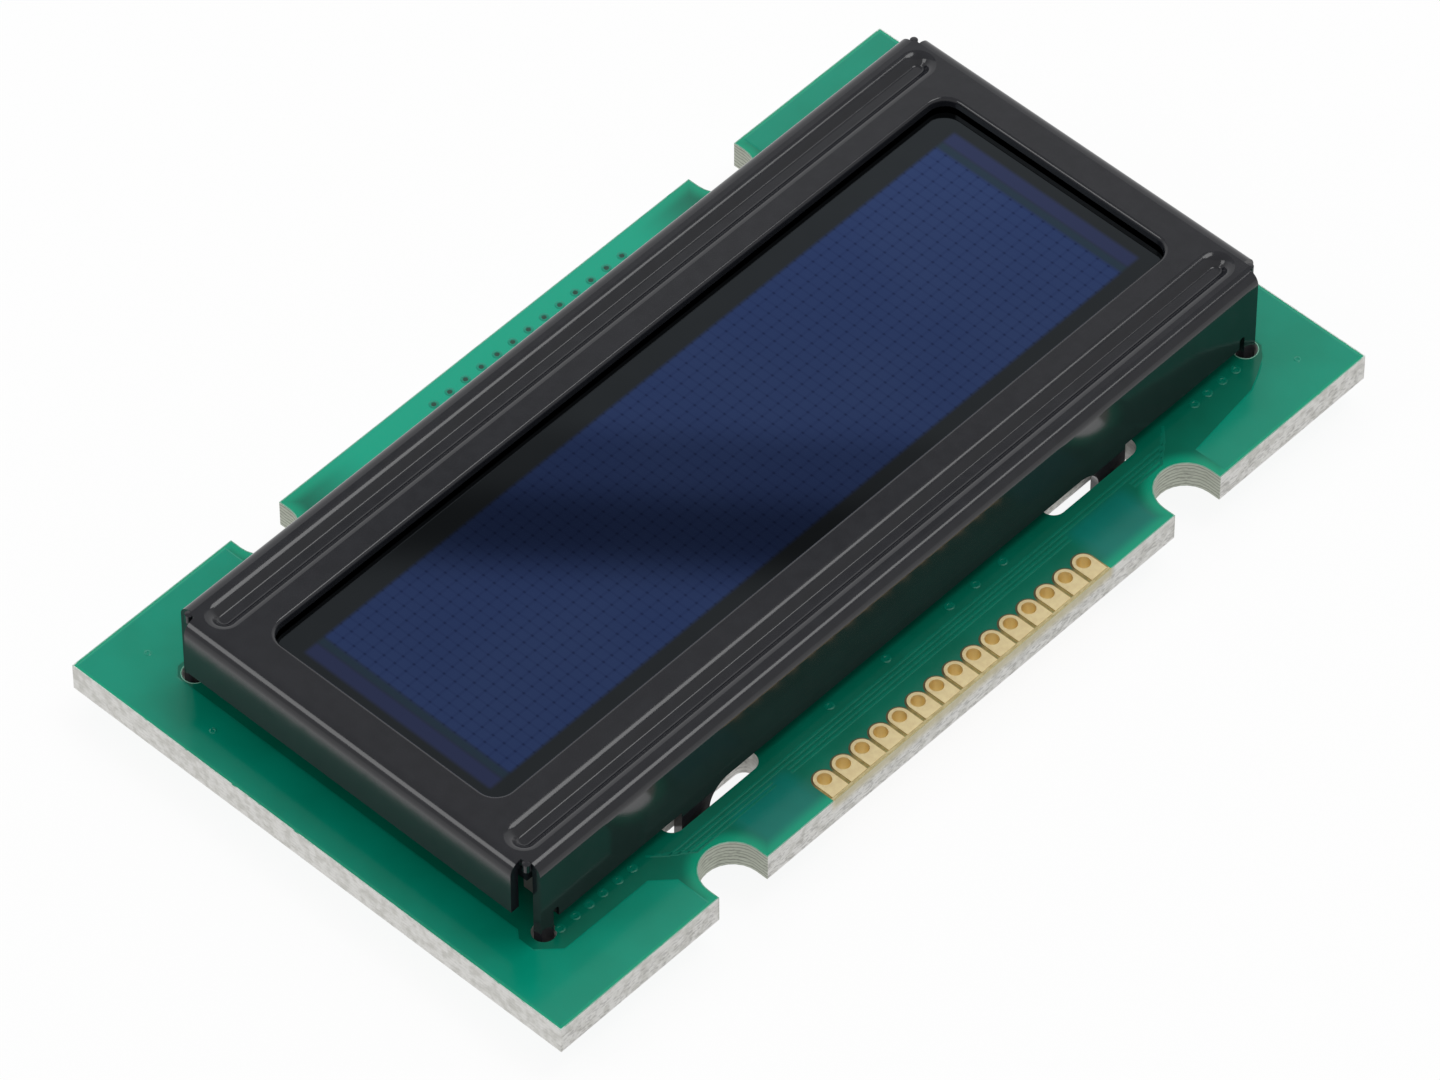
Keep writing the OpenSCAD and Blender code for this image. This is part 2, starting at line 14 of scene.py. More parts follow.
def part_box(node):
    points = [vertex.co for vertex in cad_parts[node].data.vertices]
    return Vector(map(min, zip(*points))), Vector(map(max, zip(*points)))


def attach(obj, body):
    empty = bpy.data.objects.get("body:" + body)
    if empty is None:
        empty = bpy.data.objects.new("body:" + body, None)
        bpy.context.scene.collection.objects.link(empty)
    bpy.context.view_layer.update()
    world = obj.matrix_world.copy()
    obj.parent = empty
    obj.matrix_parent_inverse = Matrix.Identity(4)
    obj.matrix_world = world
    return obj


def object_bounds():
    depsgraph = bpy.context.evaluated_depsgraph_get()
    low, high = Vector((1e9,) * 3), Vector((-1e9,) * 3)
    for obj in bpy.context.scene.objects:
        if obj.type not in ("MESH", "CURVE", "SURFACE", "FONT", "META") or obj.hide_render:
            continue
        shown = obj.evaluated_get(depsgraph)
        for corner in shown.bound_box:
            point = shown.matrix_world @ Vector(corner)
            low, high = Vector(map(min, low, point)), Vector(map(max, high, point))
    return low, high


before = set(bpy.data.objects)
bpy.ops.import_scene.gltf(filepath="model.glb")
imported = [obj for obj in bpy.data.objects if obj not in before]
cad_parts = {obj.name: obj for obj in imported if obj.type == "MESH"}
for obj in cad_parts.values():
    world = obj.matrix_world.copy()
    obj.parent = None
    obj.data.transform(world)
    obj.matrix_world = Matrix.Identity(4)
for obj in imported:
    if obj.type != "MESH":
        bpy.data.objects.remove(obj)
cad_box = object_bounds()
MM = 0.001
print(f"{len(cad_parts)} solid nodes, box {cad_box[0][:]} to {cad_box[1][:]} m")

# %% [markdown]
# ## The faces that later pieces sit on
# A new piece has to sit exactly on the solid that carries it. Typing the heights
# again would break as soon as the model changes, so they are measured here from
# the nodes' own boxes, in millimetres.

# %% Measure the carrying faces
def box_mm(node):
    low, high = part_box(node)
    return low / MM, high / MM


board_low, board_high = box_mm("circuit_board")
film_top = box_mm("polarizer")[1].z
half_length = board_high.x
half_width = board_high.y
board_top = board_high.z
board_bottom = board_low.z
print(f"board {2 * half_length:.1f} x {2 * half_width:.1f} mm, top at {board_top:.2f} mm")

# %% [markdown]
# ## The camera
# A product picture like this is taken with a long lens from far away, which keeps
# the board's opposite edges nearly parallel. The lens comes from the picture's
# width and a focal length counted in its pixels. The direction is an azimuth and
# an elevation, and two small shifts put the board where the picture has it.

# %% Place the camera
picture_width = 1440
picture_focal = 10395.9
view_azimuth = math.radians(-46.8188)
view_elevation = math.radians(49.5725)
view_roll = math.radians(-0.1235)
view_distance = 486.30
view_shift_right = -0.3224
view_shift_up = -1.4640

toward_camera = Vector((
    math.sin(view_azimuth) * math.cos(view_elevation),
    -math.cos(view_azimuth) * math.cos(view_elevation),
    math.sin(view_elevation),
))
level_right = Vector((0, 0, 1)).cross(toward_camera).normalized()
level_up = toward_camera.cross(level_right)
camera_right = level_right * math.cos(view_roll) + level_up * math.sin(view_roll)
camera_up = level_up * math.cos(view_roll) - level_right * math.sin(view_roll)


def put(name, data):
    """A new object in the scene that shows this mesh, lamp or camera."""
    made = bpy.data.objects.new(name, data)
    bpy.context.scene.collection.objects.link(made)
    return made


camera_data = bpy.data.cameras.new("product_camera")
camera_data.sensor_fit = "HORIZONTAL"
camera_data.sensor_width = 36
camera_data.lens = picture_focal / picture_width * camera_data.sensor_width
camera_data.clip_start = 10 * MM
camera = put("product_camera", camera_data)
camera_place = Vector((0, 0, board_top)) + toward_camera * view_distance
camera_place += camera_right * view_shift_right + camera_up * view_shift_up
axes = Matrix((camera_right, camera_up, toward_camera)).transposed()
camera.matrix_world = Matrix.Translation(camera_place * MM) @ axes.to_4x4()
bpy.context.scene.camera = camera
print(f"lens {camera_data.lens:.1f} mm, camera at {[round(v) for v in camera_place]} mm")

# %% [markdown]
# ## A class for shader maths
# Node links are hard to read once a finish has more than a few of them. Wrapping a
# socket in a small class lets a finish be written as arithmetic: each operator
# adds one Math node. Colours and vectors keep their own Mix and Vector Math nodes,
# because a Math node would turn a colour into grey.

# %% The socket class
class Wire:
    """One output socket. Arithmetic on it adds Math nodes to its finish."""

    def __init__(self, finish, socket):
        self.finish = finish
        self.socket = socket

    def math(self, operation, *values):
        return self.finish.node("ShaderNodeMath", {"operation": operation}, dict(enumerate(values)))

    def __add__(self, other):
        return self.math("ADD", self, other)

    __radd__ = __add__

    def __sub__(self, other):
        return self.math("SUBTRACT", self, other)

    def __rsub__(self, other):
        return self.math("SUBTRACT", other, self)

    def __mul__(self, other):
        return self.math("MULTIPLY", self, other)

    __rmul__ = __mul__

    def __truediv__(self, other):
        return self.math("DIVIDE", self, other)

    def __abs__(self):
        return self.math("ABSOLUTE", self)

    def __lt__(self, other):
        return self.math("LESS_THAN", self, other)

    def __gt__(self, other):
        return self.math("GREATER_THAN", self, other)

    def least(self, other):
        return self.math("MINIMUM", self, other)

    def most(self, other):
        return self.math("MAXIMUM", self, other)

    def root(self):
        return self.math("SQRT", self)

    def fraction(self):
        return self.math("FRACT", self)

    def rise(self, low, high):
        """0 up to low, 1 from high on, and a soft step between them."""
        return self.finish.node(
            "ShaderNodeMapRange",
            {"interpolation_type": "SMOOTHSTEP"},
            {"Value": self, "From Min": low, "From Max": high},
        )

    def band(self, low, high, soft):
        """1 from low to high and 0 outside, with soft ends."""
        return self.rise(low - soft, low + soft) * (1 - self.rise(high - soft, high + soft))

    def spread(self, margin=0.3):
        """A cloudy value stretched, so that it goes all the way from 0 to 1."""
        return self.rise(margin, 1 - margin)

    def between(self, low, high):
        """Goes from low to high as the value goes from 0 to 1."""
        return low + self * (high - low)


print("Wire: a socket that takes arithmetic")

# %% Screen colours
def tint(red, green, blue):
    """A screen colour from 0 to 255 as the linear colour that a shader takes."""
    def linear(level):
        # These numbers define the standard screen curve.
        level /= 255
        return level / 12.92 if level <= 0.04045 else ((level + 0.055) / 1.055) ** 2.4

    return linear(red), linear(green), linear(blue), 1.0


print(f"half of full brightness on a screen is {tint(127.5, 0, 0)[0]:.3f} in linear light")

# %% The node tree class
class Nodes:
    """A node tree with one method for any node, and a few named shorthands."""

    def __init__(self, tree):
        self.tree = tree
        self.tree.nodes.clear()

    def node(self, kind, settings=None, sockets=None, output=0):
        made = self.tree.nodes.new(kind)
        for name, value in (settings or {}).items():
            setattr(made, name, value)
        for name, value in (sockets or {}).items():
            if isinstance(value, Wire):
                self.tree.links.new(value.socket, made.inputs[name])
            else:
                made.inputs[name].default_value = value
        return Wire(self, made.outputs[output]) if made.outputs else None

    def mix(self, factor, first, second):
        return self.node(
            "ShaderNodeMix", {"data_type": "RGBA"}, {0: factor, 6: first, 7: second}, output=2
        )

    def parts(self, vector):
        split = self.node("ShaderNodeSeparateXYZ", None, {"Vector": vector}).socket.node
        return tuple(Wire(self, socket) for socket in split.outputs)

    def place(self):
        """The point on the piece, in millimetres."""
        point = self.node("ShaderNodeTexCoord", output="Object")
        return self.node(
            "ShaderNodeVectorMath", {"operation": "SCALE"}, {0: point, "Scale": 1 / MM}
        )

    def spot(self):
        """The x, y and z of that point."""
        return self.parts(self.place())

    def facing(self):
        """The direction in which the surface looks."""
        return self.node("ShaderNodeNewGeometry", output="Normal")

    def noise(self, scale, detail=2.0, stretch=(1, 1, 1)):
        """A cloudy value around 0.5 with this many lumps to a millimetre."""
        shaped = self.node(
            "ShaderNodeVectorMath", {"operation": "MULTIPLY"}, {0: self.place(), 1: stretch}
        )
        return self.node(
            "ShaderNodeTexNoise", None, {"Vector": shaped, "Scale": scale, "Detail": detail}
        )

    def ray(self, kind):
        """1 for rays of this kind, such as camera or glossy rays."""
        return self.node("ShaderNodeLightPath", output=kind)


print("Nodes: any node in one call")

# %% The finish class
class Finish(Nodes):
    """A material with one Principled shader. Constants are set on its own sockets."""

    def __init__(self, name, **constants):
        self.material = bpy.data.materials.new(name)
        self.material.use_nodes = True
        super().__init__(self.material.node_tree)
        self.shader = self.tree.nodes.new("ShaderNodeBsdfPrincipled")
        self.node("ShaderNodeOutputMaterial", None, {"Surface": Wire(self, self.shader.outputs[0])})
        for socket, value in constants.items():
            self.socket(socket).default_value = value

    def socket(self, name):
        """The shader's socket for a name in small letters, such as base_color or ior."""
        return self.shader.inputs["IOR" if name == "ior" else name.replace("_", " ").title()]

    def feed(self, **wires):
        """Links what varies over the surface to the shader's sockets."""
        for name, wire in wires.items():
            self.tree.links.new(wire.socket, self.socket(name))

    def relief(self, height, depth):
        """Raises the surface by this height map, whose full step is depth millimetres."""
        self.feed(normal=self.node(
            "ShaderNodeBump", None, {"Height": height, "Distance": depth * MM, "Strength": 1.0}
        ))

    def paint(self, *names):
        """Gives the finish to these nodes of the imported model."""
        for name in names:
            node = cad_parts[name]
            node.data.materials.clear()
            node.data.materials.append(self.material)
        print(f"{self.material.name}: {', '.join(names)}")


print("Finish: a material for nodes and pieces")

# %% [markdown]
# ## The studio
# The module stands on a white sheet under a pale dome. Two soft lamps draw the thin
# bright lines along the bezel's folds, and a large screen overhead gives the shade its
# direction. Mirrored in black paint, the dome is white low on the far side, where a
# backdrop would stand, and greyer elsewhere. The sheet shows white to the camera, mixes
# in some plain matt white to keep the module's shadow, and is clear from below, so that
# the module's back can be looked at too.

# %% The dome
dome_level = 0.5
bright_below, grey_above = 0.70, 0.76
overhead_level = 0.48
near_level, far_level = 0.62, 1.0
far_side = Vector((0.73, 0.68, 0))
far_full = 0.6

world = bpy.data.worlds.new("studio")
world.use_nodes = True
bpy.context.scene.world = world
bpy.context.scene.view_settings.view_transform = "Standard"
dome = Nodes(world.node_tree)
sky_x, sky_y, climb = dome.parts(dome.node("ShaderNodeTexCoord", output="Generated"))
far = (sky_x * far_side.x + sky_y * far_side.y).rise(0.0, far_full)
low_level = far.between(near_level, far_level)
overhead = climb.rise(bright_below, grey_above)
mirror_level = overhead.between(low_level, overhead_level)
shown = dome.ray("Is Camera Ray").most(dome.ray("Is Transmission Ray"))
plain_level = shown.between(dome_level, 1.0)
mirrored = dome.ray("Is Glossy Ray")
level = mirrored.between(plain_level, mirror_level)
background = dome.node("ShaderNodeBackground", None, {"Color": (1, 1, 1, 1), "Strength": level})
dome.node("ShaderNodeOutputWorld", None, {"Surface": background})
print(f"dome lights the module at {dome_level}, and mirrors {overhead_level} overhead")

# %% The sheet
sheet_half = 1500
sheet_shade = 0.08
sheet_glow = 1.0
sheet_mirrored = 0.9
sheet_bounce = 0.7
sheet_white = (0.9, 0.9, 0.9, 1)


def studio_sheet(name, corners):
    """A flat thing with four corners that belongs to the studio, and its material's nodes."""
    mesh = bpy.data.meshes.new(name)
    mesh.from_pydata(corners, [], [(0, 1, 2, 3)])
    material = bpy.data.materials.new(name)
    material.use_nodes = True
    mesh.materials.append(material)
    made = put(name, mesh)
    return made, Nodes(material.node_tree)


quarter_turns = ((-1, -1), (1, -1), (1, 1), (-1, 1))
sheet_corners = [(x * sheet_half * MM, y * sheet_half * MM, cad_box[0].z) for x, y in quarter_turns]
paper = studio_sheet("white_sheet", sheet_corners)[1]
seen = paper.ray("Is Camera Ray").most(paper.ray("Is Transmission Ray"))
mirrored = paper.ray("Is Glossy Ray")
glow_level = seen.between(sheet_bounce, sheet_glow)
glow_level = mirrored.between(glow_level, sheet_mirrored)
matt = paper.node("ShaderNodeBsdfDiffuse", None, {"Color": sheet_white})
glow = paper.node("ShaderNodeEmission", None, {"Color": glow_level, "Strength": 1.0})
blend = paper.node("ShaderNodeMixShader", None, {0: 1 - seen * sheet_shade, 1: matt, 2: glow})
under = paper.node("ShaderNodeNewGeometry", output="Backfacing")
clear = paper.node("ShaderNodeBsdfTransparent")
one_sided = paper.node("ShaderNodeMixShader", None, {0: under, 1: blend, 2: clear})
paper.node("ShaderNodeOutputMaterial", None, {"Surface": one_sided})
print("white sheet under the tabs")

# %% The soft lamps
lamp_distance = 450
lamp_size = 180
screen_size = 350


def soft_lamp(name, direction, radiance, size=lamp_size):
    """A square lamp that looks at the module. Radiance 1 is as bright as white."""
    lamp = bpy.data.lights.new(name, "AREA")
    lamp.shape = "SQUARE"
    lamp.size = size * MM
    lamp.energy = radiance * math.pi * lamp.size ** 2
    holder = put(name, lamp)
    aim = Vector(direction).normalized()
    holder.location = (Vector((0, 0, board_top)) + aim * lamp_distance) * MM
    holder.rotation_euler = aim.to_track_quat("Z", "Y").to_euler()
    print(f"{name}: {lamp.energy:.2f} W at {lamp_distance} mm")
    return holder


soft_lamp("front_lamp", direction=(0.33, -0.22, 0.92), radiance=3.4)
soft_lamp("back_lamp", direction=(-0.64, 0.44, 0.63), radiance=2.8)
overhead_screen = soft_lamp(
    "overhead_screen", direction=(0.4, 0.2, 0.89), radiance=1.63, size=screen_size
)
overhead_screen.visible_glossy = False

# %% [markdown]
# ## Green mask over laminate and over copper
# The board is glass-fibre laminate under a thin coat of glossy green mask. Over copper
# the mask looks paler and bluer than over bare laminate, and a livelier band runs along
# the cut edges, where the light comes in from the side: wide over bare laminate, narrow
# over copper. The routed edge itself shows pale glass cloth with dark grit in it, and
# thin layers inside the notches. One function makes the mask for both grounds.

# %% The mask's colour
# The notches lie where the model has them. All lengths are in millimetres.
notch_x, notch_y, notch_radius = 15.6, 14.95, 1.6
rim_start, bare_rim, copper_rim = 0.1, 0.85, 0.25
rim_share = 0.9
mask_rim = tint(4, 158, 122)


def notch_distance(finish):
    """How far a point of the board is from the nearest notch's wall."""
    x, y, z = finish.spot()
    across = abs(x) - notch_x
    along = (abs(y) - notch_y).least(0.0)
    return (across * across + along * along).root() - notch_radius


def rim_distance(finish):
    """How far a point of the board is from its outline, notches included."""
    x, y, z = finish.spot()
    return (half_length - abs(x)).least(half_width - abs(y)).least(notch_distance(finish))


def mask_colour(finish, plain, deep, rim_width=copper_rim):
    """The mask's colour: cloudy between plain and deep, livelier at the rim."""
    cloud = finish.noise(scale=0.35, detail=3.0)
    ground = finish.mix(cloud.spread(), plain, deep)
    rim = 1 - rim_distance(finish).rise(rim_start, rim_width)
    return finish.mix(rim * rim_share, ground, mask_rim)


print(f"notches {2 * notch_radius} mm wide, {notch_x} mm to both sides of the middle")

# %% The mask on the board's faces
# A ramp is a pair of values, between which something fades in.
mask_ior = 1.45
skin = 0.1
far_strip_ramp_y, far_strip_ramp_x = (11.6, 12.2), (9.0, 14.0)
pad_side_low, pad_side_high, pad_side_soft = 9.7, 13.5, 0.5
pad_side_ramp_y = (-13.0, -12.3)

board = Finish("mask_and_laminate", ior=mask_ior)
x, y, z = board.spot()
# Painted light: along the far edge the mask over bare laminate is painted brighter, as a lit copy of the
# same mask, fading out towards both ends.
lit_far_strip = y.rise(*far_strip_ramp_y) * (1 - abs(x).rise(*far_strip_ramp_x)) * (z > board_top - skin)
beside_pads = abs(x).band(pad_side_low, pad_side_high, pad_side_soft) * (1 - y.rise(*pad_side_ramp_y))
plain = board.mix(beside_pads, tint(3, 110, 87), tint(3, 119, 106))
deep = board.mix(beside_pads, tint(3, 103, 80), tint(3, 113, 100))
ground = mask_colour(board, plain, deep, bare_rim)
ground = board.mix(lit_far_strip, ground, tint(3, 166, 134))
print("mask over bare laminate, bluer on both sides of the pads and brighter at the far edge")

# %% The laminate on the board's cut edges
cloth_pitch = 0.22
upright_ramp = (0.4, 0.6)
end_wall_ramp = (0.8, 0.95)
notch_wall_ramp = (0.02, 0.06)
chalk_ramp = (0.32, 0.62)
layer_ramp = (0.28, 0.48)
speck_ramp, speck_depth_ramp = (0.52, 0.60), (0.1, 0.7)
pad_edge_ramp, pad_depth_ramp = (9.4, 9.8), (0.2, 0.9)
notch_share, speck_share, clean_end_share, pad_share = 0.85, 0.32, 0.75, 0.7
layer_share, notch_layer_share = 0.08, 0.55

normal_x, normal_y, normal_z = board.parts(board.facing())
cut = 1 - abs(normal_z).rise(*upright_ramp)
short_end = abs(normal_x).rise(*end_wall_ramp)
in_notch = 1 - notch_distance(board).rise(*notch_wall_ramp)
depth = board_top - z
chalk = board.noise(scale=2.2, detail=3.0)
layers = abs((z / cloth_pitch + chalk).fraction() - 0.5).rise(*layer_ramp)
grit = board.noise(scale=6.5, detail=4.0, stretch=(0.5, 0.5, 1.3))
specks = grit.rise(*speck_ramp) * depth.rise(*speck_depth_ramp) * (1 - clean_end_share * short_end)
pad_edge = (1 - abs(x).rise(*pad_edge_ramp)) * (y < skin - half_width)
under_pads = pad_edge * (1 - depth.rise(*pad_depth_ramp))
cloth = board.mix(chalk.rise(*chalk_ramp), tint(223, 222, 216), tint(246, 245, 241))
# Partly painted shade: inside the notches the laminate is painted darker and greener, for the hollow's
# shade as well as the notch walls' own tone.
cloth = board.mix(in_notch * notch_share, cloth, tint(192, 198, 182))
cloth = board.mix(layers * (layer_share + notch_layer_share * in_notch), cloth, tint(96, 98, 88))
cloth = board.mix(specks * speck_share, cloth, tint(112, 110, 108))
cloth = board.mix(under_pads * pad_share, cloth, tint(208, 196, 148))
print(f"laminate with layers of {cloth_pitch} mm")

# %% Mask and laminate together
mask_gloss, trace_gloss = (0.14, 0.18), (0.16, 0.21)
peel_scale, peel_height = 1.6, 0.02
cut_roughness, cut_height = 0.6, 0.5
board_relief = 0.06

peel = board.noise(peel_scale)
board.feed(
    base_color=board.mix(cut, ground, cloth),
    roughness=peel.between(*mask_gloss) + cut * cut_roughness,
)
board.relief(cut * (grit + chalk) * cut_height + (1 - cut) * peel * peel_height, board_relief)
board.paint("circuit_board")

# %% The same mask over copper
def mask_over_copper(name, plain, deep, gloss):
    finish = Finish(name, ior=mask_ior)
    peel = finish.noise(peel_scale)
    finish.feed(
        base_color=mask_colour(finish, plain, deep),
        roughness=peel.between(*gloss),
    )
    finish.relief(peel * peel_height, board_relief)
    print(f"{name} is ready")
    return finish


copper_mask = mask_over_copper("mask_over_copper", tint(3, 145, 118), tint(3, 139, 112), mask_gloss)
trace_mask = mask_over_copper("mask_over_traces", tint(4, 121, 97), tint(3, 114, 91), trace_gloss)

# %% [markdown]
# ## Copper under the mask
# Copper foil is a few hundredths of a millimetre thick, and the mask levels most of
# its step, so pours and traces show as very low plateaus. A bump map would vanish at
# the outline and from the side, so they are real geometry: each plateau is an outline
# raised a little, with a gentle slope round it where the mask runs down. The two blocks
# beside the pads are barely raised and share the board's finish, which is bluer there.

# %% A heap of small shapes
class Heap:
    """Collects many small shapes, in millimetres, for one piece."""

    def __init__(self):
        self.points = []
        self.faces = []

    def add(self, points, faces, up=True):
        start = len(self.points)
        self.points += points
        for face in faces:
            corners = tuple(start + corner for corner in face)
            self.faces.append(corners if up else corners[::-1])

    def piece(self, name, finish, smooth=False):
        mesh = bpy.data.meshes.new(name)
        mesh.from_pydata([tuple(c * MM for c in point) for point in self.points], [], self.faces)
        mesh.validate()
        for polygon in mesh.polygons:
            polygon.use_smooth = smooth
        mesh.materials.append(finish.material)
        made = put(name, mesh)
        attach(made, "root")
        print(f"{name}: {len(self.faces)} faces")


def loft(heap, loops, up):
    """Joins closed loops of equally many points, each to the next one, by bands of faces."""
    count = len(loops[0])
    faces = []
    for level in range(len(loops) - 1):
        for index in range(count):
            low, high = level * count, (level + 1) * count
            after = (index + 1) % count
            faces.append((low + index, low + after, high + after, high + index))
    heap.add([point for loop in loops for point in loop], faces, up)


print("Heap: many small shapes in one piece")

# %% Plateaus
mask_step = 0.012
mask_slope = 0.08


def anticlockwise(points):
    area = sum(a[0] * b[1] - b[0] * a[1] for a, b in zip(points, points[1:] + points[:1]))
    return points if area > 0 else points[::-1]


def inset(points, distance):
    """The outline of a simple shape moved inwards, corner by corner."""
    ring = [Vector(point) for point in anticlockwise(points)]
    moved = []
    for index, point in enumerate(ring):
        before = point - ring[index - 1]
        after = ring[(index + 1) % len(ring)] - point
        first = Vector((-before.y, before.x)).normalized()
        second = Vector((-after.y, after.x)).normalized()
        moved.append(tuple(point + (first + second) / (1 + first.dot(second)) * distance))
    return moved


def lifted(outline, height):
    return [(x, y, height) for x, y in outline]


def plateau(heap, outline, base, height, slope=mask_slope):
    """A raised area on a face at height base; a negative height hangs below the face."""
    up = height > 0
    crown = lifted(inset(outline, slope), base + height)
    loft(heap, [lifted(inset(outline, 0), base), crown], up)
    heap.add(crown, [tuple(range(len(crown)))], up)


print(f"mask over copper rises by {mask_step} mm")

# %% Traces
trace_step = mask_step / 4
trace_slope = 0.35


def trace_outline(path, width):
    """The outline of a trace of even width that follows a path, with mitred bends."""
    line = [Vector(point) for point in path]
    left, right = [], []
    for index, point in enumerate(line):
        ahead = (line[min(index + 1, len(line) - 1)] - point).normalized()
        behind = (point - line[max(index - 1, 0)]).normalized()
        ahead = ahead if ahead.length else behind
        behind = behind if behind.length else ahead
        side_a = Vector((-behind.y, behind.x))
        side_b = Vector((-ahead.y, ahead.x))
        reach = (side_a + side_b) / (1 + side_a.dot(side_b)) * width / 2
        left.append(tuple(point + reach))
        right.append(tuple(point - reach))
    return right + left[::-1]


def trace(heap, path, width, base, height):
    plateau(heap, trace_outline(path, width), base, height, width * trace_slope)


print(f"front traces rise by {trace_step} mm")

# %% Pours on the front
rim_gap = 0.12
pour_x = half_length - rim_gap
pour_y = half_width - rim_gap
pour_end = 17.7
wall_x, wall_y, wall_corner = 24.75, 12.0, 0.45
block_slope = 0.2

left_pour = [
    (-pour_x, -pour_y), (-pour_end, -pour_y), (-pour_end, -13.5), (-18.7, -12.55), (-24.1, -12.5),
    (-25.1, -11.5), (-25.1, -10.6), (-wall_x, -10.2), (-wall_x, wall_y - wall_corner),
    (wall_corner - wall_x, wall_y), (-pour_end, wall_y), (-pour_end, pour_y), (-pour_x, pour_y),
]
right_pour = [
    (pour_end, -pour_y), (pour_x, -pour_y), (pour_x, pour_y), (pour_end, pour_y), (pour_end, wall_y),
    (wall_x - wall_corner, wall_y), (wall_x, wall_y - wall_corner), (wall_x, wall_corner - wall_y),
    (24.2, -12.1), (23.3, -12.6), (22.3, -13.05), (pour_end, -13.6),
]
block = [(9.9, -13.25), (10.2, -12.95), (13.4, -12.95), (13.4, -15.1), (9.9, -15.1)]
front_pours = Heap()
for outline in (left_pour, right_pour):
    plateau(front_pours, outline, board_top, mask_step)
front_pours.piece("front_pours", copper_mask)
front_blocks = Heap()
for side in (1, -1):
    plateau(front_blocks, [(side * x, y) for x, y in block], board_top, trace_step, block_slope)
front_blocks.piece("front_blocks", board)

# %% Traces on the front
trace_width = 0.15
trace_pitch = 0.26
trace_count, through_count = 4, 2
trace_y, trace_turn, turn_step = -12.25, 17.0, 0.35
trace_climb = 0.75
left_stop, middle_stop, right_stop = -10.6, 9.6, 14.0

front_traces = Heap()
for row in range(trace_count):
    y = trace_y - row * trace_pitch
    turn = trace_turn - turn_step * row
    left = [(-turn - trace_climb, y + trace_climb), (-turn, y)]
    right = [(turn, y), (turn + trace_climb, y + trace_climb)]
    paths = [left + right]
    if row >= through_count:
        paths = [left + [(left_stop, y)], [(-middle_stop, y), (middle_stop, y)], [(right_stop, y)] + right]
    for path in paths:
        trace(front_traces, path, trace_width, board_top, trace_step)
front_traces.piece("front_traces", trace_mask)

# %% [markdown]
# ## Vias and lips
# A via is a small plated hole that takes a trace to the other side. Under the mask it
# shows as a round rim with a dimple. Drilling and routing chip the mask along the edge
# and round three of the four holes for the bezel's legs, and a thin pale lip lies there:
# its pale colour is partly that chipping and partly a painted highlight, strongest at
# the short ends. Rings are turned from a short profile, and the edge's lip follows the
# outline.

# %% Rings and via rims
def turned_ring(heap, centre, profile, capped=True, segments=20):
    """A surface turned about an upright axis. The profile lists (radius, height) inwards."""
    loops = []
    for radius, height in profile:
        angles = [2 * math.pi * step / segments for step in range(segments)]
        circle = [(radius * math.cos(a), radius * math.sin(a)) for a in angles]
        loops.append([(centre[0] + x, centre[1] + y, height) for x, y in circle])
    up = profile[1][1] > profile[0][1]
    loft(heap, loops, up)
    if capped:
        heap.add(loops[-1], [tuple(range(segments))], up)


via_radius = 0.26
lone_via_radius = 0.18
crest_outside, crest_inside, dimple = 0.75, 0.5, 0.4


def via_rim(heap, centre, base, step, radius=via_radius):
    """A round rim that rises by step, with a shallow dimple in it."""
    turned_ring(heap, centre, [
        (radius, base), (crest_outside * radius, base + step),
        (crest_inside * radius, base + step), (dimple * radius, base + step / 3),
    ])


print(f"a via's rim is {2 * via_radius} mm wide")

# %% Vias on the front
left_via_y, right_via_y, middle_via_y = -11.55, -11.68, -11.6
front_vias = [(x, left_via_y) for x in (-23.4, -22.4, -21.5, -20.6, -19.6, -18.65)]
front_vias += [(x, right_via_y) for x in (19.8, 20.75, 21.8, 22.75)]
front_vias += [(x, middle_via_y) for x in (-5.5, -1.64, 2.7, 4.5, 6.4)]
lone_vias = [(25.23, -13.4), (-24.7, 13.57), (-25.93, 8.07)]
back_row_count, back_row_pitch = 13, 1.075
back_row_x, back_row_y = -4.7, 14.53
back_row = [(back_row_x + index * back_row_pitch, back_row_y) for index in range(back_row_count)]
front_via_rims = Heap()
for centre in front_vias:
    via_rim(front_via_rims, centre, board_top + trace_step, mask_step)
front_via_rims.piece("front_via_rims", trace_mask, smooth=True)
pour_via_rims = Heap()
for centre in back_row:
    via_rim(pour_via_rims, centre, board_top, mask_step)
for centre in lone_vias:
    via_rim(pour_via_rims, centre, board_top + mask_step, 2 * mask_step, lone_via_radius)
pour_via_rims.piece("pour_via_rims", copper_mask, smooth=True)

# %% Painted shade in the vias of the back row
# Each via of the back row gets a small dark cap: painted shade that stands for the shade down its hole.
shade_cap_profile = (
    (0.5 * via_radius, board_top + mask_step),
    (0.3 * via_radius, board_top + 1.4 * mask_step),
)
via_shade = Finish("via_painted_shade", roughness=0.45)
via_shade.feed(base_color=via_shade.mix(via_shade.noise(scale=6.0), tint(8, 60, 46), tint(14, 74, 58)))
front_via_shade_caps = Heap()
for centre in back_row:
    turned_ring(front_via_shade_caps, centre, shade_cap_profile)
front_via_shade_caps.piece("front_via_shade_caps", via_shade)

# %% The lip's finish
lip_fade = 0.1
pale_ramp = (0.25, 0.45)
long_side_x = half_length - 0.2
hole_zone_x, hole_zone_y = 25.2, 12.4
pad_zone_x, pad_zone_y = 9.6, -15.0
long_side_share, hole_share = 0.7, 0.3

lip = Finish("chipped_and_highlit_lip", roughness=0.55)
x, y, z = lip.spot()


def within(value, limit):
    return (limit - abs(value)).rise(0.0, lip_fade)


chips_and_highlight = lip.noise(scale=1.8, detail=3.0)
